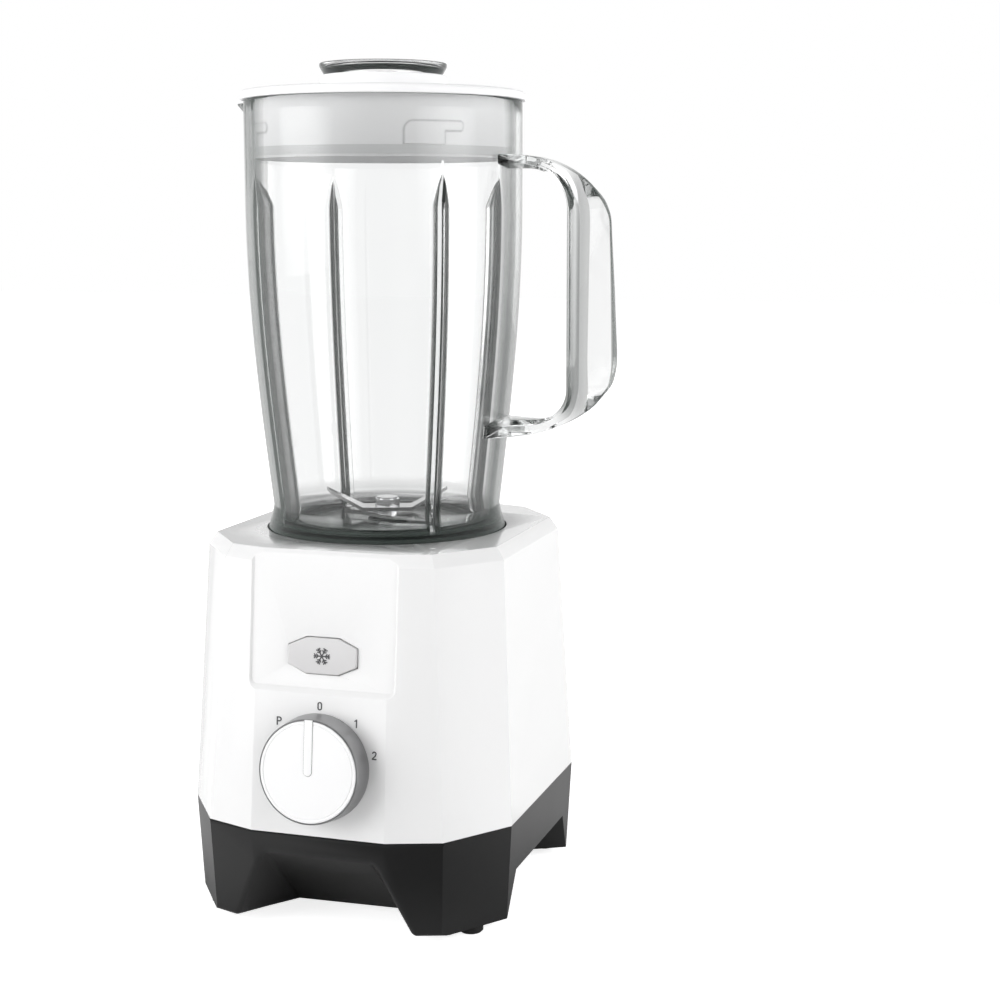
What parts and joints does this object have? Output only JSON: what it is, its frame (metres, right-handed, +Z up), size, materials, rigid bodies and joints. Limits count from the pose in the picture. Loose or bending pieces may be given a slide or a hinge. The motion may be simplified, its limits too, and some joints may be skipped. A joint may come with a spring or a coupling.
{
  "type": "countertop blender",
  "caption": "Countertop blender with a faceted motor base, control dial, ice button, ribbed clear jug with handle, blade unit, lid and filler cap.",
  "frame": {"origin": "on the table, under the axis of the jug and the motor", "axes": "+Z up along the jug's axis, -Y towards the dial, +X towards the handle, -X towards the pouring lip"},
  "size_m": [0.1913, 0.2001, 0.393],
  "materials": {
    "housing_white": "gloss white moulded plastic",
    "skirt_black": "fine-textured black plastic",
    "rubber": "matte black rubber",
    "screw_steel": "zinc-plated steel",
    "print_grey": "dark grey print",
    "motor_aluminium": "die-cast, unpolished",
    "laminations": "stacked sheet steel",
    "copper": "enamelled copper wire and bare copper bars",
    "brass": "plain",
    "carbon": "pressed carbon",
    "inner_black": "plain black nylon",
    "board_green": "circuit board",
    "shaft_steel": "ground steel",
    "dial_white": "satin white plastic",
    "dial_metal": "satin silver",
    "button_grey": "satin light grey plastic",
    "jug_clear": "clear moulded plastic",
    "plate_polished": "polished stainless steel",
    "blade_steel": "polished stainless steel",
    "holder_grey": "dark grey plastic",
    "lid_white": "satin white plastic",
    "gasket_grey": "soft grey silicone",
    "cap_clear": "clear moulded plastic"
  },
  "bodies": {
    "base": {"housing": "housing_white", "skirt": "skirt_black", "bottom_plate": "skirt_black", "rubber_feet": "rubber", "base_screws": "screw_steel", "plate_screws": "screw_steel", "dial_legends": "print_grey", "cord_gland": "skirt_black", "upper_bracket": "motor_aluminium", "lower_bracket": "motor_aluminium", "motor_dampers": "rubber", "motor_screws": "screw_steel", "stator": "laminations", "field_coils": "copper", "brush_holders": "brass", "carbon_brushes": "carbon", "upper_bearing": "screw_steel", "lower_bearing": "brass", "speed_switch": "inner_black", "switch_board": "board_green", "ice_switch": "inner_black"},
    "rotor": {"armature_core": "laminations", "armature_windings": "copper", "commutator": "copper", "motor_shaft": "shaft_steel", "cooling_fan": "inner_black", "drive_socket": "inner_black"},
    "dial": {"dial_knob": "dial_white", "dial_ring": "dial_metal", "dial_marker": "dial_white", "dial_spindle": "shaft_steel"},
    "ice": {"ice_button": "button_grey", "snowflake_mark": "print_grey", "ice_plunger": "dial_white"},
    "jug_unit": {"jug": "jug_clear", "jug_handle": "jug_clear", "blade_plate": "plate_polished", "blade_holder": "holder_grey", "holder_seal": "rubber", "blade_bush": "brass", "shaft_seal": "rubber"},
    "blades": {"blade_shaft": "shaft_steel", "upper_blade": "blade_steel", "lower_blade": "blade_steel", "blade_spacer": "shaft_steel", "blade_nut": "shaft_steel", "drive_dog": "holder_grey"},
    "lid_unit": {"lid": "lid_white", "lid_gasket": "gasket_grey"},
    "cap": {"filler_cap": "cap_clear"}
  },
  "joints": [
    {"name": "motor_spin", "type": "hinge", "parent": "base", "child": "rotor", "pos_m": [0, 0, 0.1], "axis": [0, 0, 1], "continuous": true},
    {"name": "jug_lift", "type": "slide", "parent": "base", "child": "jug_unit", "axis": [0, 0, 1], "range_m": [0, 0.06]},
    {"name": "blade_spin", "type": "hinge", "parent": "jug_unit", "child": "blades", "pos_m": [0, 0, 0.17], "axis": [0, 0, 1], "continuous": true},
    {"name": "lid_lift", "type": "slide", "parent": "jug_unit", "child": "lid_unit", "axis": [0, 0, 1], "range_m": [0, 0.045]},
    {"name": "cap_lift", "type": "slide", "parent": "lid_unit", "child": "cap", "axis": [0, 0, 1], "range_m": [0, 0.04]},
    {"name": "dial_turn", "type": "hinge", "parent": "base", "child": "dial", "pos_m": [0, -0.08892, 0.0799], "axis": [0, 0.9952, -0.0983], "range_deg": [-48, 78]},
    {"name": "ice_press", "type": "slide", "parent": "base", "child": "ice", "axis": [0, 0.9952, -0.0983], "range_m": [0, 0.002], "stiffness_N_per_m": 300}
  ],
  "couplings": [
    {"joint": "blade_spin", "follows": "motor_spin", "ratio": 1}
  ]
}
